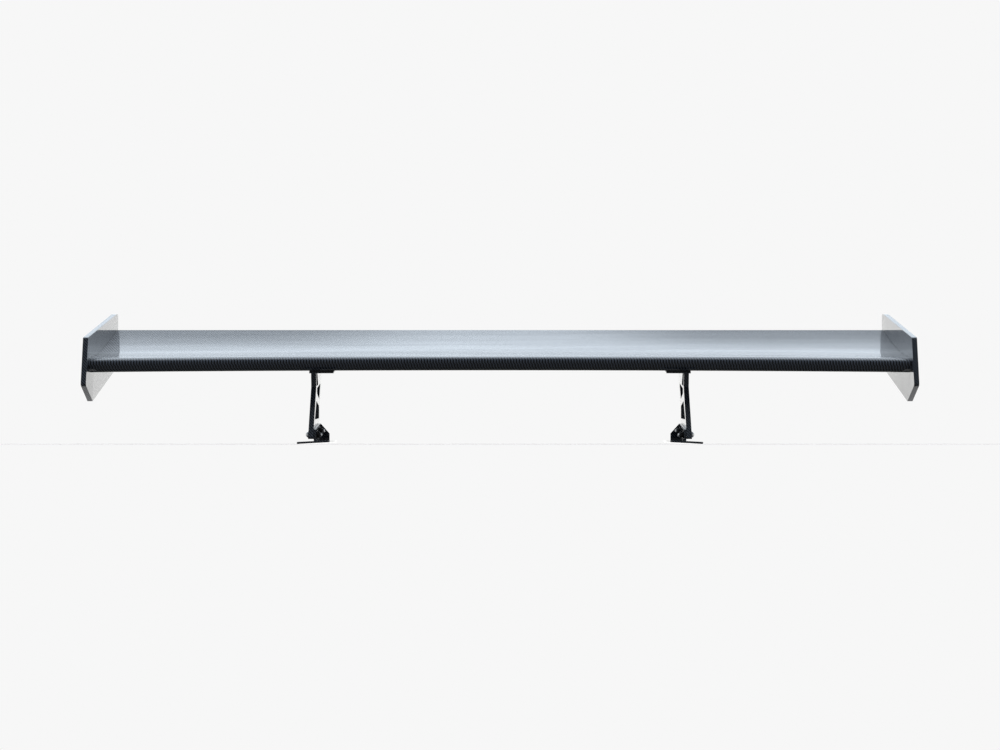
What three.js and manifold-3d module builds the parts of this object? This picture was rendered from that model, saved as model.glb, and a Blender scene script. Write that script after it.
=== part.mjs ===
// Racing rear wing: a hollow carbon wing between two endplates, carried by two truss
// uprights whose toes are clamped to feet, so that the wing's angle can be set.
// Millimetres. X runs across the car, -Y points to the front of the car, +Z is up.
// The origin is below the middle of the wing, on the surface that the feet stand on.

import * as THREE from 'three';
import { mergeVertices } from 'three/addons/utils/BufferGeometryUtils.js';
import Module from 'manifold-3d';

const wasm = await Module();
wasm.setup();

// ---- driving dimensions ----

const span = 1600; // over the outer faces of the endplates
const fitGap = 0.3; // left between pieces that touch
const holeGap = 0.3; // round a bolt, on the radius
const coreGap = 0.5; // between a rib or spar and the curved skins

const wing = {
  chord: 281.5,
  incidence: THREE.MathUtils.degToRad(17.05),
  frontY: -132.4, // leading edge at the tips
  frontZ: 150.9,
  middleRise: 4.2, // how much higher the leading edge is at mid-span
  thickness: 31,
  noseRadius: 12,
  camber: 0.055, // a share of the chord
  camberPlace: 0.42,
  edgeThickness: 3, // of the trailing edge
  skin: 1.8,
};

const cavity = { front: 0.02, rear: 0.9 }; // shares of the chord between the two bonded edges
const spar = { front: 0.225, rear: 0.66, width: 10 };
const rib = { thickness: 14, front: 0.05, rear: 0.87, hardpointInner: 318, hardpointOuter: 374 };

const endplate = { thickness: 10 };
// Corners, measured from the leading edge (front) or trailing edge (rear) of the wing's tip.
const endplateCorners = [
  { from: 'front', y: -19.1, z: -38.9, radius: 7 },
  { from: 'front', y: -1.5, z: 53.2, radius: 5 },
  { from: 'rear', y: -6.1, z: 33.5, radius: 14 },
  { from: 'rear', y: 12.3, z: 35.2, radius: 7 },
  { from: 'rear', y: 12.3, z: -72.9, radius: 12 },
  { from: 'front', y: 42.5, z: -68.3, radius: 5 },
];

const upright = { inner: 359.3, thickness: 10, topFront: 0.22 };
const mount = { front: 0.1, rear: 0.64, reach: 37.3, flange: 2.6, pad: 1.6 }; // under the wing
// The truss plate below its top flange, as [y, z].
const uprightFront = [[-58.5, 112], [-119.2, 9.4]];
const uprightBottomAndRear = [[-60, 10.6], [0, 19.5], [12, 46], [12, 76], [39, 121]];
const uprightWindows = [
  [[-61, 141], [-42, 143.5], [-21, 117.5], [-53.5, 113]],
  [[-44, 109.5], [25, 121.5], [0, 89], [-44, 99.5]],
  [[-56, 84.5], [-2, 75.5], [-2, 51], [-86, 47.5]],
];
const windowRadius = 2.5;

const foot = {
  inner: 326.5,
  outer: 390.6,
  front: -127,
  rear: 33,
  plate: 4,
  roll: THREE.MathUtils.degToRad(3), // the outer edge is the lower one
  cornerRadius: 6,
  web: 4.3,
  webFront: -111,
  webFrontTop: 28.2,
  apexTop: 40.8,
  gusset: 4,
  gussetFront: -16,
  gussetInner: 337,
  gussetCorner: 21,
};
const footHoles = { radius: 3.3, inner: 337.5, outer: 379.5, front: -116, rear: 22 };

const pivot = { y: -100, z: 18 };
const adjuster = { y: -40, z: 26 };
const travel = THREE.MathUtils.degToRad(6); // each way from rest

const bolt = { radius: 3, headRadius: 5.4, headHeight: 3.3, socket: 4, socketDepth: 2, tail: 2.4 };
const nut = { acrossFlats: 10, height: 6 };
const washer = { radius: 6.2, thickness: 1.6 };
const mountScrew = { places: [0.33, 0.55], depth: 14 };
const tipScrew = { places: [0.2, 0.42, 0.64], headRadius: 5.8, headDepth: 3.2, length: 20 };

const xSteps = 8;
const chordSteps = 16;
const roundSides = 16;

// ---- sizes that follow ----

const wingHalf = span / 2 - endplate.thickness - fitGap;
const tipFront = new THREE.Vector2(wing.frontY, wing.frontZ);
const tipRear = new THREE.Vector2(Math.cos(wing.incidence), Math.sin(wing.incidence))
  .multiplyScalar(wing.chord)
  .add(tipFront);
const uprightOuter = upright.inner + upright.thickness;
const webOuter = upright.inner - fitGap;
const webInner = webOuter - foot.web;
const boltHole = bolt.radius + holeGap;
const padTop = fitGap;
const padBottom = padTop + mount.pad;
const flangeTop = padBottom + fitGap;
const flangeBottom = flangeTop + mount.flange;
const mountInner = upright.inner - mount.reach;
const mountMiddle = (mountInner + upright.inner) / 2;

// ---- solids ----

function solidOf(geometry) {
  const bare = geometry.clone();
  bare.deleteAttribute('normal');
  bare.deleteAttribute('uv');
  const merged = mergeVertices(bare);
  return new wasm.Manifold(new wasm.Mesh({
    numProp: 3,
    vertProperties: new Float32Array(merged.attributes.position.array),
    triVerts: new Uint32Array(merged.index.array),
  }));
}

function geometryOf(solid) {
  const mesh = solid.getMesh();
  const geometry = new THREE.BufferGeometry();
  geometry.setAttribute('position', new THREE.BufferAttribute(mesh.vertProperties, 3));
  geometry.setIndex(new THREE.BufferAttribute(mesh.triVerts, 1));
  const loose = geometry.toNonIndexed();
  loose.computeVertexNormals();
  return loose;
}

function join(first, ...others) {
  return geometryOf(others.reduce((solid, other) => solid.add(solidOf(other)), solidOf(first)));
}

function cut(first, ...tools) {
  return geometryOf(tools.reduce((solid, tool) => solid.subtract(solidOf(tool)), solidOf(first)));
}

// A closed outline of [y, z] points with each corner rounded by its radius.
function roundedShape(points, radii) {
  const corners = points.map(([y, z]) => new THREE.Vector2(y, z));
  const shape = new THREE.Shape();
  corners.forEach((corner, i) => {
    const before = corners[(i + corners.length - 1) % corners.length].clone().sub(corner);
    const after = corners[(i + 1) % corners.length].clone().sub(corner);
    const radius = Array.isArray(radii) ? radii[i] : radii;
    const angle = Math.acos(before.dot(after) / (before.length() * after.length()));
    const room = Math.min(before.length(), after.length()) * 0.45;
    const back = Math.min(radius / Math.tan(angle / 2), room);
    const start = before.setLength(back).add(corner);
    const end = after.setLength(back).add(corner);
    if (i === 0) shape.moveTo(start.x, start.y);
    else shape.lineTo(start.x, start.y);
    if (radius > 0) shape.quadraticCurveTo(corner.x, corner.y, end.x, end.y);
  });
  shape.closePath();
  return shape;
}

// A plate whose outline lies in the YZ plane, between two places along X.
function plateAcross(shape, fromX, toX, curveSegments = 6) {
  const geometry = new THREE.ExtrudeGeometry(shape, {
    depth: toX - fromX,
    bevelEnabled: false,
    curveSegments,
  });
  const turn = new THREE.Matrix4().makeBasis(
    new THREE.Vector3(0, 1, 0),
    new THREE.Vector3(0, 0, 1),
    new THREE.Vector3(1, 0, 0),
  );
  return geometry.applyMatrix4(turn).translate(fromX, 0, 0);
}

// A closed skin through equal outlines at several places along X, with flat ends.
function loft(places, outlineAt) {
  const outlines = places.map(outlineAt);
  const count = outlines[0].length;
  const positions = outlines.flatMap((outline, k) => outline.flatMap((p) => [places[k], p.x, p.y]));
  const faces = [];
  for (let k = 0; k + 1 < places.length; k += 1) {
    for (let i = 0; i < count; i += 1) {
      const next = (i + 1) % count;
      const [a, b, c, d] = [k * count + i, k * count + next, (k + 1) * count + next, (k + 1) * count + i];
      faces.push(a, b, c, a, c, d);
    }
  }
  const last = (places.length - 1) * count;
  for (const [a, b, c] of THREE.ShapeUtils.triangulateShape(outlines[0], [])) {
    faces.push(c, b, a);
    faces.push(last + a, last + b, last + c);
  }
  const geometry = new THREE.BufferGeometry();
  geometry.setAttribute('position', new THREE.Float32BufferAttribute(positions, 3));
  geometry.setIndex(faces);
  const loose = geometry.toNonIndexed();
  loose.computeVertexNormals();
  return loose;
}

function rod(radius, start, end, sides = roundSides) {
  const geometry = new THREE.CylinderGeometry(radius, radius, end - start, sides);
  return geometry.rotateX(Math.PI / 2).translate(0, 0, (start + end) / 2);
}

function turned(profile, sides = roundSides) {
  const points = profile.map(([radius, height]) => new THREE.Vector2(radius, height));
  return new THREE.LatheGeometry(points, sides).rotateX(Math.PI / 2);
}

// Puts a piece made along +Z at a point, along a direction.
function place(geometry, point, direction) {
  const turn = new THREE.Quaternion().setFromUnitVectors(new THREE.Vector3(0, 0, 1), direction);
  return geometry.applyQuaternion(turn).translate(point.x, point.y, point.z);
}

// ---- the wing's section ----

// A blunt round nose that thins towards the trailing edge.
function halfThickness(s) {
  const half = wing.thickness / 2;
  const nose = Math.sqrt(1 - Math.exp((-2 * wing.noseRadius * wing.chord * s) / half ** 2));
  return nose * (half * (1 - s ** 2.2) + (s * wing.edgeThickness) / 2);
}

function camberDrop(s) {
  const p = wing.camberPlace;
  const shape = s < p ? (2 * p * s - s * s) / p ** 2 : (1 - 2 * p + 2 * p * s - s * s) / (1 - p) ** 2;
  return wing.camber * wing.chord * shape;
}

// The point at a share of the chord and a height above the chord line, as (y, z).
function sectionPoint(x, s, height) {
  const rise = wing.middleRise * (1 - (x / wingHalf) ** 2);
  const front = new THREE.Vector2(tipFront.x, tipFront.y + rise);
  const along = tipRear.clone().sub(front);
  const up = new THREE.Vector2(-along.y, along.x).normalize();
  return front.addScaledVector(along, s).addScaledVector(up, height);
}

const upperAt = (x, s, inset = 0) => sectionPoint(x, s, -camberDrop(s) + halfThickness(s) - inset);
const lowerAt = (x, s, inset = 0) => sectionPoint(x, s, -camberDrop(s) - halfThickness(s) + inset);

// The direction straight out of the wing's lower surface, and a point that far below it.
function undersideNormal(x, s) {
  const step = 0.01;
  const along = lowerAt(x, s + step).sub(lowerAt(x, s - step)).normalize();
  return new THREE.Vector2(along.y, -along.x);
}

const below = (x, s, depth) => lowerAt(x, s).addScaledVector(undersideNormal(x, s), depth);

function steps(from, to, count) {
  return Array.from({ length: count + 1 }, (_, i) => from + ((to - from) * i) / count);
}

// Closer together near the leading edge, where the section curves most.
function chordPlaces(from, to) {
  return steps(0, 1, chordSteps).map((t) => from + (to - from) * (1 - Math.cos((t * Math.PI) / 2)));
}

const wingPlaces = steps(-wingHalf, wingHalf, xSteps);

function skinOutline(x, side) {
  const edge = side * (fitGap / 2);
  const bondLine = (s) => sectionPoint(x, s, -camberDrop(s) + edge);
  const surface = (s, inset) => sectionPoint(x, s, -camberDrop(s) + side * (halfThickness(s) - inset));
  const noseStart = 0.0004;
  const outer = chordPlaces(noseStart, 1).map((s) => surface(s, 0));
  const inner = chordPlaces(cavity.front, cavity.rear).reverse().map((s) => surface(s, wing.skin));
  const bonded = [bondLine(1), bondLine(cavity.rear)];
  const nose = [bondLine(cavity.front)];
  const outline = [...outer, ...bonded, ...inner, ...nose];
  return side > 0 ? outline.reverse() : outline;
}

// A core that fills the space between the skins over part of the chord.
function coreOutline(x, from, to, count = 8) {
  const inset = wing.skin + coreGap;
  const top = steps(to, from, count).map((s) => upperAt(x, s, inset));
  const bottom = steps(from, to, count).map((s) => lowerAt(x, s, inset));
  return [...bottom, ...top];
}

function makeSpar(middle) {
  const half = spar.width / 2 / wing.chord;
  const end = wingHalf - rib.thickness - fitGap;
  const places = steps(-end, end, xSteps);
  return loft(places, (x) => coreOutline(x, middle - half, middle + half, 2));
}

// ---- fasteners, made along +Z from the underside of the head ----

function hexPrism(acrossFlats, start, end) {
  return rod(acrossFlats / 2 / Math.cos(Math.PI / 6), start, end, 6);
}

function buttonScrew(length) {
  const { radius, headRadius, headHeight, socket, socketDepth } = bolt;
  const chamfer = 0.5;
  const body = turned([
    [0, length],
    [radius - chamfer, length],
    [radius, length - chamfer],
    [radius, 0],
    [headRadius, 0],
    [headRadius * 0.94, -headHeight * 0.45],
    [headRadius * 0.62, -headHeight * 0.95],
    [headRadius * 0.55, -headHeight],
    [0, -headHeight],
  ].reverse());
  return cut(body, hexPrism(socket, -headHeight - 1, -headHeight + socketDepth));
}

function countersunkScrew() {
  const chamfer = 0.5;
  const rim = 0.4;
  const { headRadius, headDepth, length } = tipScrew;
  const body = turned([
    [0, 0],
    [headRadius, 0],
    [headRadius, rim],
    [bolt.radius, headDepth],
    [bolt.radius, length - chamfer],
    [bolt.radius - chamfer, length],
    [0, length],
  ]);
  return cut(body, hexPrism(bolt.socket, -1, bolt.socketDepth));
}

function countersink(depth) {
  const { headRadius, headDepth } = tipScrew;
  return turned([
    [0, -1],
    [headRadius + holeGap, -1],
    [headRadius + holeGap, 2 * fitGap],
    [boltHole, headDepth + 2 * fitGap],
    [boltHole, depth],
    [0, depth],
  ]);
}

function makeNut() {
  const chamfered = turned([
    [0, 0],
    [nut.acrossFlats / 2, 0],
    [nut.acrossFlats * 0.58, 0.7],
    [nut.acrossFlats * 0.58, nut.height * 0.66],
    [nut.acrossFlats * 0.46, nut.height * 0.72],
    [nut.acrossFlats * 0.44, nut.height],
    [0, nut.height],
  ]);
  const hexagon = solidOf(hexPrism(nut.acrossFlats, -1, nut.height + 1));
  const body = geometryOf(solidOf(chamfered).intersect(hexagon));
  return cut(body, rod(boltHole, -1, nut.height + 1));
}

function makeWasher() {
  const inner = boltHole;
  const outer = washer.radius;
  return turned([[inner, 0], [outer, 0], [outer, washer.thickness], [inner, washer.thickness], [inner, 0]]);
}

// ---- screws under the wing: a point and a direction into the wing ----

const mountScrewLines = mountScrew.places.map((s) => {
  const seat = below(mountMiddle, s, flangeBottom + fitGap);
  const normal = undersideNormal(mountMiddle, s);
  return {
    point: new THREE.Vector3(mountMiddle, seat.x, seat.y),
    direction: new THREE.Vector3(0, -normal.x, -normal.y),
  };
});

const mountScrewLength = flangeBottom + wing.skin + mountScrew.depth;

function mountHoles() {
  return mountScrewLines.map(({ point, direction }) => {
    const hole = rod(boltHole, -2 * flangeBottom, mountScrewLength + 1, 20);
    return place(hole, point, direction);
  });
}

function mirrored(geometry) {
  const copy = geometry.clone().scale(-1, 1, 1);
  return geometryOf(solidOf(reversed(copy)));
}

// Turns every triangle over, which a mirrored copy needs.
function reversed(geometry) {
  const flipped = geometry.index ? geometry.toNonIndexed() : geometry;
  const { array } = flipped.attributes.position;
  for (let i = 0; i < array.length; i += 9) {
    for (let k = 0; k < 3; k += 1) {
      [array[i + k], array[i + 6 + k]] = [array[i + 6 + k], array[i + k]];
    }
  }
  return flipped;
}

// ---- pieces on the centre line ----

function makeUpperSkin() {
  return loft(wingPlaces, (x) => skinOutline(x, 1));
}

function makeLowerSkin() {
  const blank = loft(wingPlaces, (x) => skinOutline(x, -1));
  return cut(blank, ...mountHoles(), ...mountHoles().map(mirrored));
}

// ---- pieces of one side, made for +X ----

function tipScrewPoint(s) {
  const centre = sectionPoint(wingHalf, s, -camberDrop(s));
  return new THREE.Vector3(span / 2 - fitGap, centre.x, centre.y);
}

const inward = new THREE.Vector3(-1, 0, 0);
const outward = new THREE.Vector3(1, 0, 0);

function makeEndRib() {
  const start = wingHalf - rib.thickness;
  const blank = loft([start, wingHalf], (x) => coreOutline(x, rib.front, rib.rear, chordSteps));
  const holes = tipScrew.places.map((s) => {
    return place(rod(boltHole, 0, 2 * endplate.thickness + rib.thickness), tipScrewPoint(s), inward);
  });
  return cut(blank, ...holes);
}

function makeHardpointRib() {
  const clear = (spar.width / 2 + 1) / wing.chord;
  const [from, to] = [spar.front + clear, spar.rear - clear];
  const blank = loft([rib.hardpointInner, rib.hardpointOuter], (x) => coreOutline(x, from, to));
  return cut(blank, ...mountHoles());
}

function makeEndplate() {
  const points = endplateCorners.map((corner) => {
    const base = corner.from === 'front' ? tipFront : tipRear;
    return [base.x + corner.y, base.y + corner.z];
  });
  const shape = roundedShape(points, endplateCorners.map((corner) => corner.radius));
  const blank = plateAcross(shape, span / 2 - endplate.thickness, span / 2);
  const holes = tipScrew.places.map((s) => {
    return place(countersink(endplate.thickness + 1), tipScrewPoint(s), inward);
  });
  return cut(blank, ...holes);
}

// A sheet that follows the wing's lower surface between two depths below it.
function underWing(fromX, toX, top, bottom) {
  const places = steps(mount.front, mount.rear, 10);
  return loft([fromX, toX], (x) => [
    ...places.map((s) => below(x, s, bottom)),
    ...places.slice().reverse().map((s) => below(x, s, top)),
  ]);
}

function makePad() {
  return cut(underWing(mountInner, uprightOuter, padTop, padBottom), ...mountHoles());
}

// The slot that lets the adjuster bolt swing round the pivot.
function adjusterSlot() {
  const centre = new THREE.Vector2(pivot.y, pivot.z);
  const arm = new THREE.Vector2(adjuster.y, adjuster.z).sub(centre);
  const middle = arm.angle();
  const shape = new THREE.Shape();
  const at = (angle, radius) => new THREE.Vector2(Math.cos(angle), Math.sin(angle))
    .multiplyScalar(radius)
    .add(centre);
  const low = at(middle - travel, arm.length());
  const high = at(middle + travel, arm.length());
  shape.absarc(centre.x, centre.y, arm.length() + boltHole, middle - travel, middle + travel, false);
  shape.absarc(high.x, high.y, boltHole, middle + travel, middle + travel + Math.PI, false);
  shape.absarc(centre.x, centre.y, arm.length() - boltHole, middle + travel, middle - travel, true);
  shape.absarc(low.x, low.y, boltHole, middle - travel + Math.PI, middle - travel + 2 * Math.PI, false);
  return plateAcross(shape, upright.inner - 1, uprightOuter + 1, 8);
}

function makeUpright() {
  const inFlange = (flangeTop + flangeBottom) / 2;
  const top = steps(mount.rear, upright.topFront, 6).map((s) => {
    const point = below(upright.inner, s, inFlange);
    return [point.x, point.y];
  });
  const outline = [...top, ...uprightFront, ...uprightBottomAndRear];
  const radii = outline.map((_, i) => (i < top.length ? 0 : 4));
  const plate = plateAcross(roundedShape(outline, radii), upright.inner, uprightOuter);
  const flange = underWing(mountInner, uprightOuter, flangeTop, flangeBottom);
  const windows = uprightWindows.map((points) => {
    return plateAcross(roundedShape(points, windowRadius), upright.inner - 1, uprightOuter + 1);
  });
  const across = new THREE.Vector3(upright.inner - 1, pivot.y, pivot.z);
  const pivotHole = place(rod(boltHole, 0, upright.thickness + 2), across, outward);
  return cut(join(plate, flange), ...windows, pivotHole, adjusterSlot(), ...mountHoles());
}

function makeFootBracket() {
  const width = foot.outer - foot.inner;
  const outline = [
    [-width, foot.front],
    [0, foot.front],
    [0, foot.rear],
    [-width, foot.rear],
  ];
  const plate = new THREE.ExtrudeGeometry(roundedShape(outline, foot.cornerRadius), {
    depth: foot.plate,
    bevelEnabled: false,
    curveSegments: 4,
  });
  const holes = [footHoles.inner, footHoles.outer].flatMap((x) => {
    return [footHoles.front, footHoles.rear].map((y) => {
      return rod(footHoles.radius, -1, foot.plate + 1).translate(x - foot.outer, y, 0);
    });
  });
  const base = cut(plate, ...holes).rotateY(foot.roll).translate(foot.outer, 0, 0);
  const sunk = Math.tan(foot.roll) * (foot.outer - webOuter) + foot.plate / 2; // inside the base
  const web = plateAcross(new THREE.Shape([
    new THREE.Vector2(foot.webFront, sunk),
    new THREE.Vector2(foot.gussetFront + foot.gusset, sunk),
    new THREE.Vector2(foot.gussetFront + foot.gusset, foot.apexTop),
    new THREE.Vector2(foot.gussetFront, foot.apexTop),
    new THREE.Vector2(foot.webFront, foot.webFrontTop),
  ]), webInner, webOuter);
  const gusset = new THREE.ExtrudeGeometry(new THREE.Shape([
    new THREE.Vector2(foot.gussetInner, sunk + 1),
    new THREE.Vector2(webOuter - 1, sunk + 1),
    new THREE.Vector2(webOuter - 1, foot.apexTop),
    new THREE.Vector2(webInner, foot.apexTop),
    new THREE.Vector2(foot.gussetInner, foot.gussetCorner),
  ]), { depth: foot.gusset, bevelEnabled: false });
  gusset.rotateX(Math.PI / 2).translate(0, foot.gussetFront + foot.gusset, 0);
  const boltHoles = [pivot, adjuster].map(({ y, z }) => {
    return place(rod(boltHole, -1, foot.web + 1), new THREE.Vector3(webInner, y, z), outward);
  });
  return cut(join(base, web, gusset), ...boltHoles);
}

// ---- the assembly ----

const carbon = { color: 0x17191c, roughness: 0.22, metalness: 0.1 };
const foamCore = { color: 0xd8cfa8, roughness: 0.9, metalness: 0 };
const aluminium = { color: 0xb9bdc2, roughness: 0.4, metalness: 1 };
const stainless = { color: 0xc4c6c8, roughness: 0.28, metalness: 1 };
const blackSteel = { color: 0x1b1b1d, roughness: 0.5, metalness: 0.6 };
const rubber = { color: 0x202124, roughness: 0.85, metalness: 0 };

function piece(name, geometry, finish) {
  const mesh = new THREE.Mesh(geometry, new THREE.MeshStandardMaterial(finish));
  mesh.name = name;
  return mesh;
}

// A bolt through foot and upright, with a washer at each end and a nut outside.
function clampPieces(kind, side, { y, z }) {
  const point = (x) => new THREE.Vector3(x, y, z);
  const outerWasherX = uprightOuter + fitGap;
  const headX = outerWasherX + washer.thickness + fitGap;
  const innerWasherX = webInner - fitGap - washer.thickness;
  const nutX = innerWasherX - fitGap;
  const length = headX - nutX + nut.height + bolt.tail;
  return [
    piece(`${kind}_bolt_${side}`, place(buttonScrew(length), point(headX), inward), stainless),
    piece(`${kind}_inner_washer_${side}`, place(makeWasher(), point(innerWasherX), outward), blackSteel),
    piece(`${kind}_outer_washer_${side}`, place(makeWasher(), point(outerWasherX), outward), stainless),
    piece(`${kind}_nut_${side}`, place(makeNut(), point(nutX), inward), blackSteel),
  ];
}

function mountScrewPieces(side) {
  return mountScrewLines.flatMap(({ point, direction }, i) => {
    const headSeat = point.clone().addScaledVector(direction, -washer.thickness - fitGap);
    const washerSeat = point.clone().addScaledVector(direction, -washer.thickness);
    const name = i === 0 ? 'front' : 'rear';
    return [
      piece(`mount_screw_${name}_${side}`, place(buttonScrew(mountScrewLength), headSeat, direction), stainless),
      piece(`mount_washer_${name}_${side}`, place(makeWasher(), washerSeat, direction), stainless),
    ];
  });
}

function sidePieces(side) {
  const group = new THREE.Group();
  group.add(piece(`end_rib_${side}`, makeEndRib(), foamCore));
  group.add(piece(`hardpoint_rib_${side}`, makeHardpointRib(), aluminium));
  group.add(piece(`endplate_${side}`, makeEndplate(), carbon));
  tipScrew.places.forEach((s, i) => {
    const screw = place(countersunkScrew(), tipScrewPoint(s), inward);
    group.add(piece(`endplate_screw_${i + 1}_${side}`, screw, stainless));
  });
  group.add(piece(`wing_pad_${side}`, makePad(), rubber));
  group.add(piece(`upright_${side}`, makeUpright(), carbon));
  group.add(...mountScrewPieces(side));
  group.add(piece(`foot_bracket_${side}`, makeFootBracket(), carbon));
  group.add(...clampPieces('pivot', side, pivot));
  group.add(...clampPieces('adjuster', side, adjuster));
  return group;
}

const rearWing = new THREE.Group();
rearWing.add(piece('wing_upper_skin', makeUpperSkin(), carbon));
rearWing.add(piece('wing_lower_skin', makeLowerSkin(), carbon));
rearWing.add(piece('front_spar', makeSpar(spar.front), carbon));
rearWing.add(piece('rear_spar', makeSpar(spar.rear), carbon));

// +X is the left side of the car.
rearWing.add(sidePieces('left'));
const rightSide = sidePieces('right');
rightSide.scale.x = -1;
rearWing.add(rightSide);

export default rearWing;
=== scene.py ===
import math

import bmesh
import bpy
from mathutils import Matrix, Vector


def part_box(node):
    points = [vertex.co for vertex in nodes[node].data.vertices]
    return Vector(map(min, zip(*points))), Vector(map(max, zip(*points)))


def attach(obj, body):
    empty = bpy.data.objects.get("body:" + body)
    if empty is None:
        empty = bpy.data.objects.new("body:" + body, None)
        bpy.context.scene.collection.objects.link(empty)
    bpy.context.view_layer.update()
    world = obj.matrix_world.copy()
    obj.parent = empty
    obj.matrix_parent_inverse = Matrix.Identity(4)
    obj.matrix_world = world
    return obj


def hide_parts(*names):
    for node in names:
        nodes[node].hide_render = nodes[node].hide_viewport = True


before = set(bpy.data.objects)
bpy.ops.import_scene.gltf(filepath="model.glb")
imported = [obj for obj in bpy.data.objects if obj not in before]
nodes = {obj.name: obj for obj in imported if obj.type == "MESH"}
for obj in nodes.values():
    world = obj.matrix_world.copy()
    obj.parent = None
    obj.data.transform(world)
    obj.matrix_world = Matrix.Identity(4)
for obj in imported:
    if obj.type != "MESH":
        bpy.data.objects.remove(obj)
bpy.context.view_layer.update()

mm = 0.001


# A node socket that can stand in a formula; every operation adds a node.
class Wire:
    def __init__(self, graph, socket):
        self.graph = graph
        self.socket = socket

    def math(self, operation, *others):
        return self.graph.math(operation, self, *others)

    def __add__(self, other):
        return self.math("ADD", other)

    def __radd__(self, other):
        return self.math("ADD", other)

    def __sub__(self, other):
        return self.math("SUBTRACT", other)

    def __rsub__(self, other):
        return self.graph.math("SUBTRACT", other, self)

    def __mul__(self, other):
        return self.math("MULTIPLY", other)

    def __rmul__(self, other):
        return self.math("MULTIPLY", other)

    def __truediv__(self, other):
        return self.math("DIVIDE", other)

    def __pow__(self, other):
        return self.math("POWER", other)

    def __mod__(self, other):
        return self.math("FLOORED_MODULO", other)

    def __neg__(self):
        return self * -1

    def __lt__(self, other):
        return self.math("LESS_THAN", other)

    def __gt__(self, other):
        return self.math("GREATER_THAN", other)

    def __abs__(self):
        return self.math("ABSOLUTE")


class Graph:
    def __init__(self, tree):
        self.tree = tree

    # settings are set first, then values or links of the sockets, by name or by place
    def node(self, kind, settings=None, inputs=None, out=0):
        made = self.tree.nodes.new(kind)
        for name, value in (settings or {}).items():
            setattr(made, name, value)
        for key, value in (inputs or {}).items():
            socket = made.inputs[key]
            if isinstance(value, Wire):
                self.tree.links.new(value.socket, socket)
            else:
                socket.default_value = value
        return Wire(self, made.outputs[out]) if len(made.outputs) else made

    def math(self, operation, *values):
        return self.node("ShaderNodeMath", {"operation": operation}, dict(enumerate(values)))

    def vector(self, operation, *values, out=0):
        return self.node("ShaderNodeVectorMath", {"operation": operation}, dict(enumerate(values)), out)

    def split(self, vector):
        made = self.node("ShaderNodeSeparateXYZ", None, {0: vector}).socket.node
        return [Wire(self, made.outputs[i]) for i in range(3)]

    def pick(self, mask, yes, no):
        return no + mask * (yes - no)

    def mixColour(self, factor, first, second):
        return self.node("ShaderNodeMix", {"data_type": "RGBA"}, {0: factor, 6: first, 7: second}, 2)

    def smooth(self, value, low, high):
        settings = {"interpolation_type": "SMOOTHSTEP"}
        return self.node("ShaderNodeMapRange", settings, {"Value": value, "From Min": low, "From Max": high})


def grey(level):
    return (level, level, level, 1)


# Materials.
def newMaterial(name):
    material = bpy.data.materials.new(name)
    material.use_nodes = True
    material.node_tree.nodes.clear()
    return material, Graph(material.node_tree)


def finishMaterial(graph, inputs):
    shader = graph.node("ShaderNodeBsdfPrincipled", None, inputs)
    graph.node("ShaderNodeOutputMaterial", None, {"Surface": shader})


def noise(graph, position, scale, detail=2.0, roughness=0.5):
    inputs = {"Vector": position, "Scale": scale, "Detail": detail, "Roughness": roughness}
    return graph.node("ShaderNodeTexNoise", None, inputs)


def objectPlace(graph):
    return graph.node("ShaderNodeTexCoord", out=3)


def bumped(graph, height, distance, strength=1.0):
    return graph.node("ShaderNodeBump", None, {"Strength": strength, "Distance": distance, "Height": height})


# a face whose normal has more than this along X counts as facing sideways
facingShare = 0.62


# Flat coordinates on a piece made of flat plates: each face reads the two axes that it lies along.
def plateCoordinates(graph):
    position = objectPlace(graph)
    normal = graph.node("ShaderNodeNewGeometry", out=1)
    x, y, z = graph.split(position)
    nx, ny, nz = [abs(part) for part in graph.split(normal)]
    facesX = nx > facingShare
    facesZ = nz > ny
    across = graph.pick(facesX, y, x)
    up = graph.pick(facesX, z, graph.pick(facesZ, y, z))
    return position, across, up


def clothCoordinates(graph):
    position = objectPlace(graph)
    u, v, _ = graph.split(graph.node("ShaderNodeUVMap", {"uv_map": "cloth"}))
    return position, u, v


twill = {
    "tow": 1.38 * mm,
    # the warp colour is lighter and bluer than the weft: painted sheen and sky reflection on tows that are
    # the same black fibre
    "warpSheenColour": (0.074, 0.086, 0.110, 1),
    "weftColour": (0.004, 0.005, 0.007, 1),
    # the colour that low parts of the weave darken towards: painted shade in the gaps between tows
    "gapShadeColour": (0.003, 0.0035, 0.004, 1),
    "relief": 0.02 * mm,
    "towEnd": 0.55,  # height of a tow where it dives under, and how much more its crown has
    "towRise": 0.45,
    "fibres": {"across": 9000, "along": 160, "relief": 0.12, "shade": 0.5, "base": 0.75},
    "gapWidth": 0.35,
    "unevenScale": 6.0,
    "unevenGloss": 0.06,
    "gapGloss": 0.16,
    "specular": 0.08,
    "coatRoughness": 0.035,
    "coatIor": 1.5,
    "streakScale": (2.2, 75),
    "streakFade": (0.35, 0.65),
}


# height along a tow, which lies on top for two crossings
def crown(run):
    return twill["towEnd"] + twill["towRise"] * (run * math.pi / 2).math("SINE")


# 2x2 twill: a height from 0 to 1, and which of the two tows lies on top
def twillPattern(graph, across, up):
    u = across / twill["tow"]
    v = up / twill["tow"]
    column, row = u.math("FLOOR"), v.math("FLOOR")
    warpOnTop = ((column + row) % 4) < 2
    warpRun = (v + column) % 4
    weftRun = (u + row) % 4
    warpHump = ((u % 1) * math.pi).math("SINE")
    weftHump = ((v % 1) * math.pi).math("SINE")
    warpHeight = warpHump.math("SQRT") * crown(warpRun)
    weftHeight = weftHump.math("SQRT") * crown(weftRun - 2)
    return graph.pick(warpOnTop, warpHeight, weftHeight), warpOnTop


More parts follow.
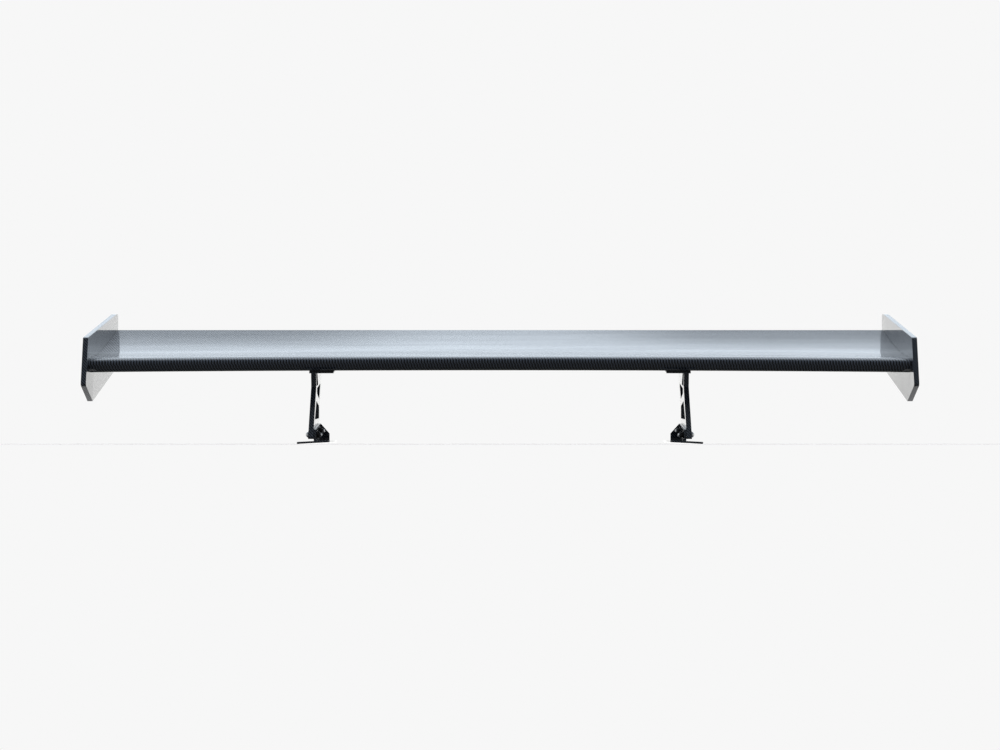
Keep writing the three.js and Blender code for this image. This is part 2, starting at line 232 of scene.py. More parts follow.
# fine lines along the fibres of whichever tow is on top
def fibreLines(graph, across, up, warpOnTop):
    along = graph.pick(warpOnTop, across, up)
    lengthways = graph.pick(warpOnTop, up, across)
    fibres = twill["fibres"]
    scaled = {0: along * fibres["across"], 1: lengthways * fibres["along"]}
    line = graph.node("ShaderNodeCombineXYZ", None, scaled)
    return noise(graph, line, 1.0, 1.0)


# long faint streaks, as lacquer and the moulding under it leave
def lacquerStreaks(graph, across, up):
    wide, narrow = twill["streakScale"]
    line = graph.node("ShaderNodeCombineXYZ", None, {0: across * wide, 1: up * narrow})
    return graph.smooth(noise(graph, line, 1.0, 3.0, 0.6), *twill["streakFade"])


def makeCarbon(name, coordinates, coat=1.0, clothRoughness=0.42, streaks=0.0):
    material, graph = newMaterial(name)
    position, across, up = coordinates(graph)
    height, warpOnTop = twillPattern(graph, across, up)
    fibres = fibreLines(graph, across, up, warpOnTop)
    # warp tows on top take the painted sheen colour, weft tows the dark fibre colour
    shade = graph.mixColour(warpOnTop, twill["weftColour"], twill["warpSheenColour"])
    look = twill["fibres"]
    # darker where a tow dives under, towards the gap colour: painted shade in the gaps; the fibre lines add
    # real tone
    paintedTowShade = twill["towEnd"] + twill["towRise"] * graph.smooth(height, 0.0, twill["gapWidth"])
    gapShadeAndFibres = paintedTowShade * (look["base"] + look["shade"] * fibres)
    colour = graph.mixColour(gapShadeAndFibres, twill["gapShadeColour"], shade)
    drift = noise(graph, position, twill["unevenScale"], 3.0)
    roughness = clothRoughness + twill["gapGloss"] * (1 - height) + twill["unevenGloss"] * (drift - 0.5)
    bump = bumped(graph, height + look["relief"] * fibres, twill["relief"])
    lacquer = coat - streaks * lacquerStreaks(graph, across, up) if streaks else coat
    finishMaterial(graph, {
        "Base Color": colour, "Roughness": roughness, "Normal": bump,
        "Specular IOR Level": twill["specular"], "Coat Weight": lacquer,
        "Coat Roughness": twill["coatRoughness"], "Coat IOR": twill["coatIor"]})
    return material


stainless = {
    "colour": (0.74, 0.75, 0.76, 1), "darker": (0.58, 0.59, 0.60, 1), "roughness": 0.24, "lineGloss": 0.14,
    "lathe": (5000, 900, 900), "stainScale": 220.0, "stainFade": (0.35, 0.75),
    "relief": 0.02 * mm, "strength": 0.25,
}


def makeStainless():
    material, graph = newMaterial("stainlessSteel")
    position = objectPlace(graph)
    scaled = [part * scale for part, scale in zip(graph.split(position), stainless["lathe"])]
    lathed = graph.node("ShaderNodeCombineXYZ", None, dict(enumerate(scaled)))
    lines = noise(graph, lathed, 1.0, 2.0)
    stain = graph.smooth(noise(graph, position, stainless["stainScale"], 3.0), *stainless["stainFade"])
    colour = graph.mixColour(stain, stainless["colour"], stainless["darker"])
    roughness = stainless["roughness"] + stainless["lineGloss"] * lines
    bump = bumped(graph, lines, stainless["relief"], stainless["strength"])
    finishMaterial(graph, {"Base Color": colour, "Roughness": roughness, "Normal": bump, "Metallic": 1.0})
    return material


blackZinc = {
    "colour": (0.022, 0.022, 0.024, 1), "rubbed": (0.06, 0.06, 0.062, 1), "roughness": 0.42,
    "grainGloss": 0.2, "metallic": 0.6, "grainScale": 1500.0, "rubScale": 260.0, "rubFade": (0.56, 0.72),
    "relief": 0.03 * mm, "strength": 0.3,
}


def makeBlackSteel():
    material, graph = newMaterial("blackSteel")
    position = objectPlace(graph)
    grain = noise(graph, position, blackZinc["grainScale"], 3.0)
    rub = graph.smooth(noise(graph, position, blackZinc["rubScale"], 3.0), *blackZinc["rubFade"])
    colour = graph.mixColour(rub, blackZinc["colour"], blackZinc["rubbed"])
    roughness = blackZinc["roughness"] + blackZinc["grainGloss"] * grain
    bump = bumped(graph, grain, blackZinc["relief"], blackZinc["strength"])
    finishMaterial(graph, {
        "Base Color": colour, "Roughness": roughness, "Normal": bump, "Metallic": blackZinc["metallic"]})
    return material


alloy = {
    "colour": (0.55, 0.56, 0.58, 1), "paler": (0.68, 0.69, 0.71, 1), "roughness": 0.3, "grainGloss": 0.12,
    "cutterStep": 0.9 * mm, "grainScale": 900.0, "relief": 0.02 * mm, "strength": 0.4,
}


def makeAlloy():
    material, graph = newMaterial("machinedAlloy")
    position = objectPlace(graph)
    _, y, _ = graph.split(position)
    passes = (y * (2 * math.pi / alloy["cutterStep"])).math("SINE") * 0.5 + 0.5
    grain = noise(graph, position, alloy["grainScale"], 2.0)
    colour = graph.mixColour(grain, alloy["colour"], alloy["paler"])
    roughness = alloy["roughness"] + alloy["grainGloss"] * grain
    bump = bumped(graph, passes, alloy["relief"], alloy["strength"])
    finishMaterial(graph, {"Base Color": colour, "Roughness": roughness, "Normal": bump, "Metallic": 1.0})
    return material


foam = {
    "hollow": (0.36, 0.30, 0.16, 1), "wall": (0.72, 0.64, 0.40, 1), "roughness": 0.88, "cellGloss": 0.1,
    "cellScale": 1400.0, "relief": 0.3 * mm, "strength": 0.8,
}


def makeFoam():
    material, graph = newMaterial("coreFoam")
    position = objectPlace(graph)
    cells = graph.node("ShaderNodeTexVoronoi", None, {"Vector": position, "Scale": foam["cellScale"]})
    # darker towards each cell's middle: painted shade in the cell hollows
    colour = graph.mixColour(cells, foam["hollow"], foam["wall"])
    roughness = foam["roughness"] + foam["cellGloss"] * cells
    bump = bumped(graph, cells, foam["relief"], foam["strength"])
    finishMaterial(graph, {"Base Color": colour, "Roughness": roughness, "Normal": bump})
    return material


rubber = {
    "colour": (0.016, 0.016, 0.017, 1), "bloomed": (0.034, 0.034, 0.036, 1), "roughness": 0.72,
    "grainGloss": 0.18, "grainScale": 1800.0, "bloomScale": 40.0, "bloomFade": (0.4, 0.7),
    "relief": 0.08 * mm, "strength": 0.5,
}


def makeRubber():
    material, graph = newMaterial("padRubber")
    position = objectPlace(graph)
    grain = noise(graph, position, rubber["grainScale"], 3.0, 0.6)
    bloom = graph.smooth(noise(graph, position, rubber["bloomScale"], 2.0), *rubber["bloomFade"])
    colour = graph.mixColour(bloom, rubber["colour"], rubber["bloomed"])
    roughness = rubber["roughness"] + rubber["grainGloss"] * grain
    bump = bumped(graph, grain, rubber["relief"], rubber["strength"])
    finishMaterial(graph, {"Base Color": colour, "Roughness": roughness, "Normal": bump})
    return material


wingCarbon = makeCarbon("wingCarbon", clothCoordinates, streaks=0.14)
plateCarbon = makeCarbon("plateCarbon", plateCoordinates)
bareCarbon = makeCarbon("bareCarbon", plateCoordinates, coat=0.0, clothRoughness=0.55)
stainlessSteel = makeStainless()
blackSteel = makeBlackSteel()
machinedAlloy = makeAlloy()
coreFoam = makeFoam()
padRubber = makeRubber()
print("materials ready")


# Mesh helpers.
def link(name, mesh, material=None):
    made = bpy.data.objects.new(name, mesh)
    bpy.context.scene.collection.objects.link(made)
    if material:
        mesh.materials.clear()
        mesh.materials.append(material)
    return made


def evaluatedMesh(piece):
    graph = bpy.context.evaluated_depsgraph_get()
    graph.update()
    return bpy.data.meshes.new_from_object(piece.evaluated_get(graph))


# replaces an object's mesh by its evaluated one and drops the modifiers
def bakeModifiers(piece):
    mesh = evaluatedMesh(piece)
    piece.modifiers.clear()
    piece.data = mesh
    return piece


def smoothShade(mesh, angle):
    mesh.shade_smooth()
    mesh.set_sharp_from_angle(angle=math.radians(angle))


rounding = {
    "steps": 3,
    "limit": 28,  # edges that turn by more degrees than this are rounded
    "extra": 6,  # and those that then turn by this many more stay sharp
    "weld": 0.002 * mm,
    "flat": 0.5,
    "wide": 14,  # a face this many edge widths square isn't part of a rounded edge
}


# A copy of a model node with its flat faces merged and its edges rounded.
def roundedCopy(node, edge):
    bm = bmesh.new()
    bm.from_mesh(nodes[node].data)
    bmesh.ops.remove_doubles(bm, verts=bm.verts, dist=rounding["weld"])
    flat = math.radians(rounding["flat"])
    bmesh.ops.dissolve_limit(bm, angle_limit=flat, verts=bm.verts, edges=bm.edges)
    mesh = bpy.data.meshes.new(node + "_finished")
    bm.to_mesh(mesh)
    bm.free()
    piece = link(node + "_finished", mesh)
    bevel = piece.modifiers.new("edges", "BEVEL")
    bevel.width = edge
    bevel.segments = rounding["steps"]
    bevel.limit_method = "ANGLE"
    bevel.angle_limit = math.radians(rounding["limit"])
    bakeModifiers(piece)
    bm = bmesh.new()
    bm.from_mesh(piece.data)
    wide = rounding["wide"] * edge * edge
    sharp = math.radians(rounding["limit"] + rounding["extra"])
    for border in bm.edges:
        sizes = [face.calc_area() > wide for face in border.link_faces]
        alike = len(sizes) == 2 and sizes[0] == sizes[1]
        border.smooth = alike and border.calc_face_angle(0) < sharp
    for face in bm.faces:
        face.smooth = True
    bm.to_mesh(piece.data)
    bm.free()
    return piece


def dress(piece, body, slot, material, *replaced):
    piece.data.materials.clear()
    piece.data.materials.append(material)
    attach(piece, body)
    if replaced:
        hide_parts(*replaced)


sides = {"left": 1, "right": -1}


# The wing: two skins from one rule.
wing = {
    "frontY": -132.4 * mm,
    "frontZ": 150.9 * mm,
    "chord": 281.5 * mm,
    "incidence": math.radians(17.05),
    "middleRise": 4.2 * mm,
    "thickness": 31 * mm,
    "noseRadius": 12 * mm,
    "camber": 0.055,
    "camberPlace": 0.42,
    "edgeThickness": 3 * mm,
    "skin": 1.8 * mm,
    "bond": 0.1 * mm,  # half the joint between the skins
}
skinRows = 200
skinColumns = 33
outerShare = 0.8  # share of the rows that lie on the outside
outerEnd = outerShare + 0.0001
weldReach = 0.0005 * mm
clothSteps = 400
fullness = 2.2  # how late the section tapers towards its rear edge


def addInput(tree, name, kind="NodeSocketFloat"):
    return tree.interface.new_socket(name=name, in_out="INPUT", socket_type=kind).identifier


def wingTree():
    tree = bpy.data.node_groups.new("wingSkin", "GeometryNodeTree")
    tree.is_modifier = True
    tree.interface.new_socket(name="Geometry", in_out="OUTPUT", socket_type="NodeSocketGeometry")
    names = ["Half span", "Side", "Front y", "Front z", "Chord", "Rear y", "Rear z", "Middle rise",
             "Half thickness", "Nose radius", "Camber", "Camber place", "Edge", "Skin", "Bond"]
    keys = {name: addInput(tree, name) for name in names}
    keys["Material"] = addInput(tree, "Material", "NodeSocketMaterial")
    graph = Graph(tree)
    group = tree.nodes.new("NodeGroupInput")
    value = {name: Wire(graph, group.outputs[name]) for name in names}

    grid = tree.nodes.new("GeometryNodeMeshGrid")
    grid.inputs["Vertices X"].default_value = skinColumns
    grid.inputs["Vertices Y"].default_value = skinRows
    across, around, _ = graph.split(graph.node("GeometryNodeInputPosition"))
    t = around + 0.5
    x = across * 2 * value["Half span"]

    # outside from the nose to the rear edge, then back to the nose inside the skin
    outside = t < outerEnd
    outerS = (t / outerShare) ** 2
    innerS = ((1 - t) / (1 - outerShare)) ** 2
    s = graph.pick(outside, outerS, innerS).math("MINIMUM", 1.0)
    half = value["Half thickness"]
    roundness = 1 - (-2 * value["Nose radius"] * value["Chord"] * s / (half * half)).math("EXPONENT")
    body = half * (1 - s ** fullness) + s * value["Edge"] / 2
    outerH = roundness.math("MAXIMUM", 0.0).math("SQRT") * body
    innerH = (outerH - value["Skin"]).math("MAXIMUM", outerH.math("MINIMUM", value["Bond"]))
    p = value["Camber place"]
    ahead = (2 * p * s - s * s) / (p * p)
    behind = (1 - 2 * p + 2 * p * s - s * s) / ((1 - p) * (1 - p))
    drop = value["Camber"] * value["Chord"] * graph.pick(s < p, ahead, behind)
    height = value["Side"] * graph.pick(outside, outerH, innerH) - drop

    share = x / value["Half span"]
    frontZ = value["Front z"] + value["Middle rise"] * (1 - share * share)
    alongY = value["Rear y"] - value["Front y"]
    alongZ = value["Rear z"] - frontZ
    length = (alongY * alongY + alongZ * alongZ).math("SQRT")
    y = value["Front y"] + alongY * s - alongZ / length * height
    z = frontZ + alongZ * s + alongY / length * height

    place = graph.node("ShaderNodeCombineXYZ", None, {0: x, 1: y, 2: z})
    shape = graph.node("GeometryNodeSetPosition", None, {
        "Geometry": Wire(graph, grid.outputs["Mesh"]), "Position": place})
    rows = graph.node("GeometryNodeStoreNamedAttribute", {"data_type": "FLOAT", "domain": "POINT"}, {
        "Geometry": shape, "Name": "around", "Value": t})
    merged = graph.node("GeometryNodeMergeByDistance", None, {"Geometry": rows, "Distance": weldReach})
    real = graph.node("GeometryNodeRealizeInstances", None, {"Geometry": merged})
    coloured = graph.node("GeometryNodeSetMaterial", None, {
        "Geometry": real, "Material": Wire(graph, group.outputs["Material"])})
    end = tree.nodes.new("NodeGroupOutput")
    tree.links.new(coloured.socket, end.inputs[0])
    return tree, keys


def sectionPoint(s, side):
    half = wing["thickness"] / 2
    nose = math.sqrt(1 - math.exp(-2 * wing["noseRadius"] * wing["chord"] * s / half ** 2))
    body = half * (1 - s ** fullness) + s * wing["edgeThickness"] / 2
    p = wing["camberPlace"]
    ahead = (2 * p * s - s * s) / p ** 2
    behind = (1 - 2 * p + 2 * p * s - s * s) / (1 - p) ** 2
    drop = wing["camber"] * wing["chord"] * (ahead if s < p else behind)
    return Vector((wing["chord"] * s, side * nose * body - drop))


# The cloth runs round the nose without a break, so its second coordinate is the length along the skin;
# up to noseEnd, a share of the chord, the cloth is pulled longer round the bend.
noseEnd = 0.05


def addClothMap(mesh, side):
    lengths = [0.0]
    total = 0.0
    last = sectionPoint(0, side)
    for i in range(1, clothSteps + 1):
        s = (i / clothSteps) ** 2
        point = sectionPoint(s, side)
        step = point - last
        rise = abs(step.y)
        total += rise + (step.length - rise) * min(s / noseEnd, 1.0)
        lengths.append(total)
        last = point
    layer = mesh.uv_layers.new(name="cloth")
    around = mesh.attributes["around"].data
    for loop in mesh.loops:
        t = around[loop.vertex_index].value
        root = min(t / outerShare if t <= outerEnd else (1 - t) / (1 - outerShare), 1.0)
        exact = root * clothSteps
        low = min(int(exact), clothSteps - 1)
        run = lengths[low] + (lengths[low + 1] - lengths[low]) * (exact - low)
        layer.data[loop.index].uv = (mesh.vertices[loop.vertex_index].co.x, side * run)


def makeWingSkin(name, side, tree, keys):
    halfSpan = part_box("wing_upper_skin")[1][0]
    values = {
        "Half span": halfSpan, "Side": side, "Front y": wing["frontY"], "Front z": wing["frontZ"],
        "Chord": wing["chord"], "Rear y": wing["frontY"] + wing["chord"] * math.cos(wing["incidence"]),
        "Rear z": wing["frontZ"] + wing["chord"] * math.sin(wing["incidence"]),
        "Middle rise": wing["middleRise"], "Half thickness": wing["thickness"] / 2,
        "Nose radius": wing["noseRadius"], "Camber": wing["camber"], "Camber place": wing["camberPlace"],
        "Edge": wing["edgeThickness"], "Skin": wing["skin"], "Bond": wing["bond"]}
    piece = link(name, bpy.data.meshes.new(name))
    modifier = piece.modifiers.new("shape", "NODES")
    modifier.node_group = tree
    for key, value in values.items():
        modifier[keys[key]] = float(value)
    modifier[keys["Material"]] = wingCarbon
    bakeModifiers(piece)
    addClothMap(piece.data, side)
    bm = bmesh.new()
    bm.from_mesh(piece.data)
    rims = [edge for edge in bm.edges if edge.is_boundary]
    bmesh.ops.edgeloop_fill(bm, edges=rims)
    bmesh.ops.recalc_face_normals(bm, faces=bm.faces)
    bm.to_mesh(piece.data)
    bm.free()
    smoothShade(piece.data, 40)
    return piece


skinTree, skinKeys = wingTree()
for skinName, skinSide, replaced in (
        ("wing_upper_shell", 1, "wing_upper_skin"), ("wing_lower_shell", -1, "wing_lower_skin")):
    shell = makeWingSkin(skinName, skinSide, skinTree, skinKeys)
    dress(shell, "wing", "carbon_gloss", wingCarbon, replaced)
print("wing skins ready")


# Plates, uprights, feet and pads.
edges = {"endplate": 0.6 * mm, "upright": 0.6 * mm, "foot_bracket": 0.7 * mm, "wing_pad": 0.3 * mm}
finishes = {
    "endplate": ("wing", "carbon_gloss", plateCarbon),
    "upright": ("wing", "carbon_gloss", plateCarbon),
    "foot_bracket": ("feet", "carbon_gloss", plateCarbon),
    "wing_pad": ("wing", "pad_rubber", padRubber),
}
for kind, (body, slotName, finish) in finishes.items():
    for side in sides:
        node = kind + "_" + side
        dress(roundedCopy(node, edges[kind]), body, slotName, finish, node)
print("plates ready")

hiddenFinishes = {
    "front_spar": bareCarbon, "rear_spar": bareCarbon, "end_rib": coreFoam, "hardpoint_rib": machinedAlloy}
for node, made in nodes.items():
    for start, finish in hiddenFinishes.items():
        if node.startswith(start):
            for materialSlot in made.material_slots:
                materialSlot.material = finish


# Fasteners.
fastener = {
    "radius": 3 * mm, "headRadius": 5.4 * mm, "headHeight": 3.3 * mm,
    "domeAngles": (8, 22, 36, 50, 62), "socket": 4 * mm, "socketDepth": 2 * mm,
    "socketFloor": 0.94, "socketMouth": 1.06, "socketFillet": 0.3 * mm, "mouthDepth": 0.25 * mm,
    "headFlat": 0.53, "tip": 0.8, "threadStart": 0.6 * mm, "threadEnd": 0.4 * mm,
    "pitch": 1.0 * mm, "grooveDepth": 0.28 * mm, "pointsRound": 48,
    "nutFlats": 10 * mm, "nutHeight": 6 * mm, "bore": 3.3 * mm,
    "washerRadius": 6.2 * mm, "washerThickness": 1.6 * mm,
    "sunkRadius": 5.8 * mm, "sunkDepth": 3.2 * mm, "sunkLength": 20 * mm,
    "sunkRim": 0.2 * mm,
}


# Rings of (size, height, sides): sides 0 is round, 6 is a hexagon measured over its flats.
def ringMesh(name, rings, hollow):
    count = fastener["pointsRound"]
    points, faces = [], []
    for size, height, corners in rings:
        for i in range(count):
            angle = 2 * math.pi * i / count
            reach = size
            if corners:
                sector = 2 * math.pi / corners
                reach = size / 2 / math.cos((angle % sector) - sector / 2)
            points.append((reach * math.cos(angle), reach * math.sin(angle), height))
    last = len(rings) if hollow else len(rings) - 1
    for k in range(last):
        a, b = k * count, ((k + 1) % len(rings)) * count
        for i in range(count):
            j = (i + 1) % count
            faces.append((a + i, a + j, b + j, b + i))
    if not hollow:
        faces.append(tuple(reversed(range(count))))
        faces.append(tuple(range((len(rings) - 1) * count, len(rings) * count)))
    mesh = bpy.data.meshes.new(name)
    mesh.from_pydata(points, [], faces)
    bm = bmesh.new()
    bm.from_mesh(mesh)
    bmesh.ops.recalc_face_normals(bm, faces=bm.faces)
    bm.to_mesh(mesh)
    bm.free()
    smoothShade(mesh, 35)
    return mesh


def buttonScrew(length):
    f = fastener
    top = -f["headHeight"]
    deep = top + f["socketDepth"]
    dome = [(f["headRadius"] * math.cos(a), -f["headHeight"] * math.sin(a), 0)
            for a in (math.radians(d) for d in f["domeAngles"])]
    rings = [
        (f["socket"] * f["socketFloor"], deep + f["socketFillet"], 6), (f["socket"], deep, 6),
        (f["socket"], top + f["mouthDepth"], 6), (f["socket"] * f["socketMouth"], top, 6),
        (f["headRadius"] * f["headFlat"], top, 0), *reversed(dome), (f["headRadius"], 0, 0),
        (f["radius"], 0, 0), *threadRings(f["threadStart"], length), (f["radius"] * f["tip"], length, 0)]
    return ringMesh("buttonScrew", rings, False)


# a coarse run of rounded grooves stands for the thread
def threadRings(start, end):
    radius = fastener["radius"]
    pitch = fastener["pitch"]
    rings = [(radius, start, 0)]
    for i in range(int((end - start - fastener["threadEnd"]) / pitch)):
        base = start + i * pitch
        rings += [(radius - fastener["grooveDepth"], base + pitch * 0.5, 0), (radius, base + pitch, 0)]
    return rings


def countersunkScrew():
    f = fastener
    deep = f["socketDepth"]
    rim = f["sunkRim"]
    rings = [
        (f["socket"] * f["socketFloor"], deep - f["socketFillet"], 6), (f["socket"], deep, 6),
        (f["socket"], rim, 6), (f["socket"] * f["socketMouth"], 0, 6), (f["sunkRadius"] - rim, 0, 0),
        (f["sunkRadius"], rim, 0), (f["sunkRadius"], 2 * rim, 0), (f["radius"], f["sunkDepth"], 0),
        *threadRings(f["sunkDepth"] + f["threadEnd"], f["sunkLength"]),
        (f["radius"] * f["tip"], f["sunkLength"], 0)]
    return ringMesh("countersunkScrew", rings, False)


def lockNut():
    f = fastener
    flats = f["nutFlats"]
    bore = f["bore"] * 0.97
    high = f["nutHeight"]
    lip = 0.35 * mm
    foot = 0.3 * mm
    rings = [
        (bore + foot, 0, 0), (flats * 0.5, 0, 0), (flats, 0.5 * mm, 6), (flats, high * 0.62, 6),
        (flats * 0.475, high * 0.7, 0), (flats * 0.45, high * 0.92, 0), (flats * 0.42, high, 0),
        (bore + lip, high, 0), (bore, high - lip, 0), (bore, foot, 0)]
    return ringMesh("lockNut", rings, True)


def flatWasher():
    f = fastener
    inner = f["bore"]
    outer = f["washerRadius"]
    thick = f["washerThickness"]
    lip = 0.15 * mm
    rings = [
        (inner + lip, 0, 0), (outer - lip, 0, 0), (outer, lip, 0), (outer, thick - lip, 0),
        (outer - lip, thick, 0), (inner + lip, thick, 0), (inner, thick - lip, 0), (inner, lip, 0)]
    return ringMesh("flatWasher", rings, True)


# One tree puts a fastener at every point, turned along the point's direction.
def fastenerTree():
    tree = bpy.data.node_groups.new("fastenerSet", "GeometryNodeTree")
    tree.is_modifier = True
    tree.interface.new_socket(name="Geometry", in_out="OUTPUT", socket_type="NodeSocketGeometry")
    addInput(tree, "Points", "NodeSocketGeometry")
    shapeKey = addInput(tree, "Shape", "NodeSocketObject")
    finishKey = addInput(tree, "Finish", "NodeSocketMaterial")
    graph = Graph(tree)
    group = tree.nodes.new("NodeGroupInput")
    points = Wire(graph, group.outputs["Points"])
    info = tree.nodes.new("GeometryNodeObjectInfo")
    tree.links.new(group.outputs["Shape"], info.inputs["Object"])
    facing = graph.node("GeometryNodeInputNamedAttribute", {"data_type": "FLOAT_VECTOR"}, {"Name": "facing"})
    turn = graph.node("FunctionNodeAlignRotationToVector", {"axis": "Z"}, {"Vector": facing})
    placed = graph.node("GeometryNodeInstanceOnPoints", None, {
        "Points": points, "Instance": Wire(graph, info.outputs["Geometry"]), "Rotation": turn})
    real = graph.node("GeometryNodeRealizeInstances", None, {"Geometry": placed})
    coloured = graph.node("GeometryNodeSetMaterial", None, {
        "Geometry": real, "Material": Wire(graph, group.outputs["Finish"])})
    end = tree.nodes.new("NodeGroupOutput")
    tree.links.new(coloured.socket, end.inputs[0])
    return tree, shapeKey, finishKey


setTree, shapeKey, finishKey = fastenerTree()


def fastenerSet(name, shape, places, body, replaced, slotName="stainless", finish=stainlessSteel):
    template = link(name + "_template", shape)
    mesh = bpy.data.meshes.new(name)
    mesh.from_pydata([point for point, _ in places], [], [])
    facing = mesh.attributes.new("facing", "FLOAT_VECTOR", "POINT")
    for item, (_, direction) in zip(facing.data, places):
        item.vector = direction
    piece = link(name, mesh)
    modifier = piece.modifiers.new("set", "NODES")
    modifier.node_group = setTree
    modifier[shapeKey] = template
    modifier[finishKey] = finish
    bakeModifiers(piece)
    bpy.data.objects.remove(template)
    dress(piece, body, slotName, finish, *replaced)


def middle(node):
    low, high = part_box(node)
    return (Vector(low) + Vector(high)) / 2


# a fastener that lies along X starts at its inner end and points outwards
def sidewaysPlace(node, sign, fromInside=True):
    low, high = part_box(node)
    point = middle(node)
    inner, outer = (low[0], high[0]) if sign > 0 else (high[0], low[0])
    point.x = inner if fromInside else outer
    return point, Vector((sign if fromInside else -sign, 0, 0))


def sidewaysSet(name, shape, kinds, body, headOffset=0.0, fromInside=True, **finish):
    replaced = [kind + "_" + side for kind in kinds for side in sides]
    places = []
    for kind in kinds:
        for side, sign in sides.items():
            point, direction = sidewaysPlace(kind + "_" + side, sign, fromInside)
            places.append((point + direction * headOffset, direction))
    fastenerSet(name, shape, places, body, replaced, **finish)


clampKinds = ["pivot", "adjuster"]
boltLow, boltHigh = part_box("pivot_bolt_left")
shankLength = boltHigh[0] - boltLow[0] - fastener["headHeight"]
sidewaysSet("clamp_bolts", buttonScrew(shankLength), [k + "_bolt" for k in clampKinds], "feet",
            headOffset=fastener["headHeight"], fromInside=False)
black = {"slotName": "black_steel", "finish": blackSteel}
sidewaysSet("clamp_nuts", lockNut(), [k + "_nut" for k in clampKinds], "feet", fromInside=False, **black)
sidewaysSet("inner_washers", flatWasher(), [k + "_inner_washer" for k in clampKinds], "feet", **black)
sidewaysSet("outer_washers", flatWasher(), [k + "_outer_washer" for k in clampKinds], "feet")
sidewaysSet("endplate_screws", countersunkScrew(), ["endplate_screw_%d" % i for i in (1, 2, 3)], "wing",
            fromInside=False)

mountGap = 0.3 * mm
mountTail = 1 * mm
mountPlaces, mountWasherPlaces, mountScrews, mountWashers = [], [], [], []
for side in sides:
    for end in ("front", "rear"):
        screw, washer = "mount_screw_%s_%s" % (end, side), "mount_washer_%s_%s" % (end, side)
        direction = (middle(screw) - middle(washer)).normalized()
        washerFoot = middle(washer) - direction * fastener["washerThickness"] / 2
        mountWasherPlaces.append((washerFoot, direction))
        mountPlaces.append((washerFoot - direction * mountGap, direction))
        mountScrews.append(screw)
        mountWashers.append(washer)
lowest, highest = (Vector(v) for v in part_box("mount_screw_front_left"))
tilt = mountPlaces[0][1]
screwTotal = (highest.z - lowest.z - 2 * fastener["radius"] * abs(tilt.y)) / tilt.z
mountLength = screwTotal - fastener["headHeight"] - mountTail
fastenerSet("mount_screws", buttonScrew(mountLength), mountPlaces, "wing", mountScrews)
fastenerSet("mount_washers", flatWasher(), mountWasherPlaces, "wing", mountWashers)
print("fasteners ready")


# Floor, light and camera.
studio = {
    "backdrop": 0.93,
    "floorSize": 30.0,
    "floorFade": (1.3, 2.4),
    "floorShown": (0.685, 0.63, 0.60, 1),
    "floorBounce": 0.14,
    "rear": 1.02,
    "skyline": 0.75,
    "skylineMiddle": 0.45,
    "skylineOutwards": 0.35,
    "sky": 0.98,
    "upperSky": 0.35,
    "cornerDip": 0.5,
    "front": 0.12,
    "frontUnder": 0.4,
    "sides": 0.5,
    "above": 1.1,
    "tint": (0.90, 1.0, 1.10, 1),
    "lowTint": (1.0, 1.0, 0.99, 1),
    "overheadPower": 62.0,
    "overheadSize": 5.0,
    "overheadHeight": 3.2,
    "kickerPower": 0.035,
    "kickerSize": 0.11,
    "kickerPlace": (0.795, -0.045, 0.002),
}

# Between which values of a direction's x, y or z one level of the world's light fades into the next.
fades = {
    "behind": (0.10, 0.45),
    "low": (0.08, 0.20),
    "high": (0.24, 0.50),
    "higher": (0.60, 0.72),
    "outwards": (0.10, 0.20),
    "bandFoot": (0.38, 0.60),
    "bandTop": (0.64, 0.80),
    "corner": (0.02, 0.12),
    "sideways": (0.3, 0.9),
    "overhead": (0.55, 0.95),
    "overheadFront": (-0.45, -0.25),
    "under": (0.03, 0.22),
    "horizon": (-0.03, 0.01),
    "tint": (0.08, 0.35),
}


def makeFloor():
    size = studio["floorSize"]
    mesh = bpy.data.meshes.new("floor")
    corners = [(-size, -size, 0), (size, -size, 0), (size, size, 0), (-size, size, 0)]
    mesh.from_pydata(corners, [], [(0, 1, 2, 3)])
    material, graph = newMaterial("floorPaint")
    seen = graph.node("ShaderNodeLightPath", out=0)
    far = graph.smooth(graph.vector("LENGTH", objectPlace(graph), out=1), *studio["floorFade"])
    colour = graph.mixColour(seen, grey(studio["floorBounce"]), studio["floorShown"])
    paint = graph.node("ShaderNodeBsdfDiffuse", None, {"Color": colour})
    plain = graph.node("ShaderNodeEmission", None, {"Color": grey(studio["backdrop"])})
    shader = graph.node("ShaderNodeMixShader", None, {0: far * seen, 1: paint, 2: plain})
    graph.node("ShaderNodeOutputMaterial", None, {"Surface": shader})
    floor = link("floor", mesh, material)
    floor.visible_glossy = False


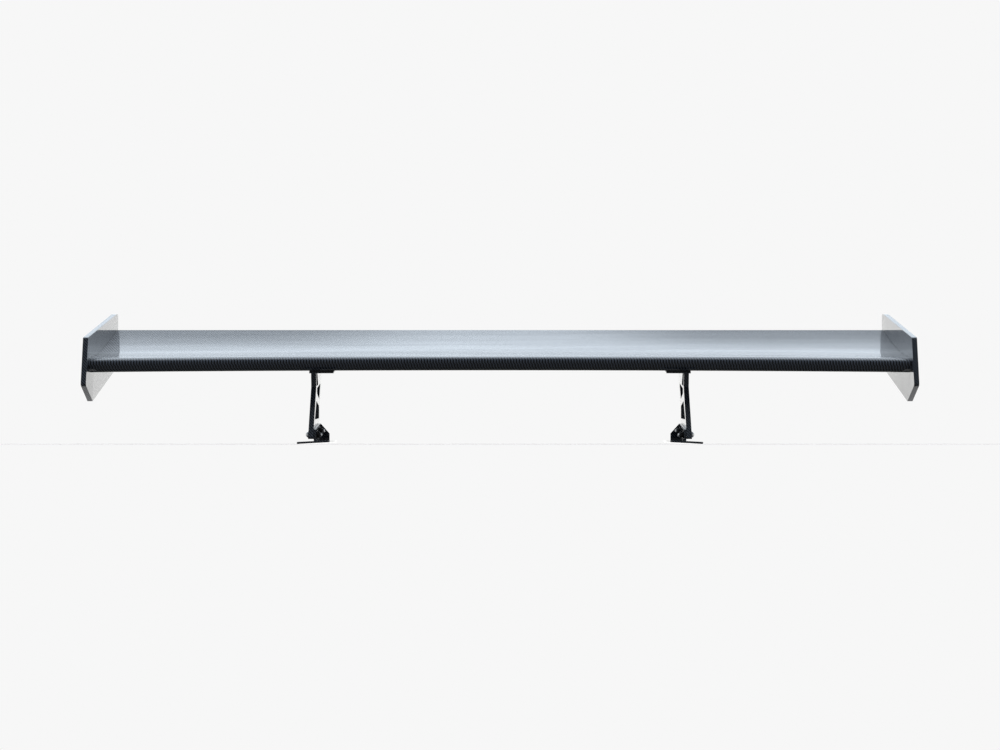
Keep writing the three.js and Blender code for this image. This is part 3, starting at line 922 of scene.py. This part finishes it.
def makeWorld():
    world = bpy.data.worlds.new("studio")
    world.use_nodes = True
    world.node_tree.nodes.clear()
    graph = Graph(world.node_tree)
    x, y, z = graph.split(graph.node("ShaderNodeTexCoord", out=0))

    def fade(value, name):
        return graph.smooth(value, *fades[name])

    behind = fade(y, "behind")
    high = fade(z, "high") + studio["upperSky"] * fade(z, "higher")
    corner = fade(abs(x), "corner") * (fade(z, "bandFoot") * (1 - fade(z, "bandTop")))
    outwards = studio["skylineMiddle"] + studio["skylineOutwards"] * fade(abs(x), "outwards")
    skyline = studio["skyline"] * outwards
    rear = studio["rear"] + skyline * (1 - fade(z, "low")) + studio["sky"] * high
    dimmedRear = rear * (1 - studio["cornerDip"] * corner)
    sideways = studio["sides"] * fade(abs(x), "sideways")
    overhead = fade(z, "overhead") * fade(y, "overheadFront")
    front = studio["front"] + sideways + studio["above"] * overhead
    upper = graph.pick(behind, dimmedRear, front)
    under = (studio["rear"] + skyline) * (1 - fade(-z, "under"))
    lower = graph.pick(behind, studio["front"] * studio["frontUnder"] + under, studio["front"]) + sideways
    level = graph.pick(fade(z, "horizon"), upper, lower)
    tint = graph.mixColour(fade(z, "tint"), studio["lowTint"], studio["tint"])
    soft = graph.node("ShaderNodeVectorMath", {"operation": "SCALE"}, {0: tint, "Scale": level})
    light = graph.node("ShaderNodeBackground", None, {"Color": soft, "Strength": 1.0})
    plain = graph.node("ShaderNodeBackground", None, {"Color": grey(studio["backdrop"]), "Strength": 1.0})
    seen = graph.node("ShaderNodeLightPath", out=0)
    shown = graph.node("ShaderNodeMixShader", None, {0: seen, 1: light, 2: plain})
    graph.node("ShaderNodeOutputWorld", None, {"Surface": shown})
    bpy.context.scene.world = world


def squareLight(name, size, power, place):
    lamp = bpy.data.lights.new(name, "AREA")
    lamp.shape = "SQUARE"
    lamp.size = size
    lamp.energy = power
    holder = bpy.data.objects.new(name, lamp)
    holder.location = place
    bpy.context.scene.collection.objects.link(holder)
    return holder


# a small light on the floor under each endplate, which its sloping lower edge mirrors
def makeKicker(sign):
    x, y, z = studio["kickerPlace"]
    holder = squareLight("kicker", studio["kickerSize"], studio["kickerPower"], (sign * x, y, z))
    holder.rotation_euler = (math.pi, 0, 0)
    lit = bpy.data.collections.new("kickerLit")
    for side in sides:
        lit.objects.link(bpy.data.objects["endplate_" + side + "_finished"])
    holder.light_linking.receiver_collection = lit


def makeOverhead():
    place = (0, 0, studio["overheadHeight"])
    holder = squareLight("overhead", studio["overheadSize"], studio["overheadPower"], place)
    holder.visible_glossy = False


camera = {
    "distance": 3.747, "height": 0.0013, "tilt": math.radians(2.075), "lens": 67.9, "sensor": 36.0,
    "near": 0.001, "far": 200.0,
}


def makeCamera():
    lens = bpy.data.cameras.new("camera")
    lens.lens = camera["lens"]
    lens.sensor_width = camera["sensor"]
    lens.clip_start = camera["near"]
    lens.clip_end = camera["far"]
    holder = bpy.data.objects.new("camera", lens)
    holder.location = (0, -camera["distance"], camera["height"])
    holder.rotation_euler = (math.pi / 2 + camera["tilt"], 0, 0)
    bpy.context.scene.collection.objects.link(holder)
    bpy.context.scene.camera = holder


bpy.context.scene.view_settings.view_transform = "Standard"
makeFloor()
makeWorld()
makeOverhead()
makeKicker(-1)
makeKicker(1)
makeCamera()
print("studio ready")
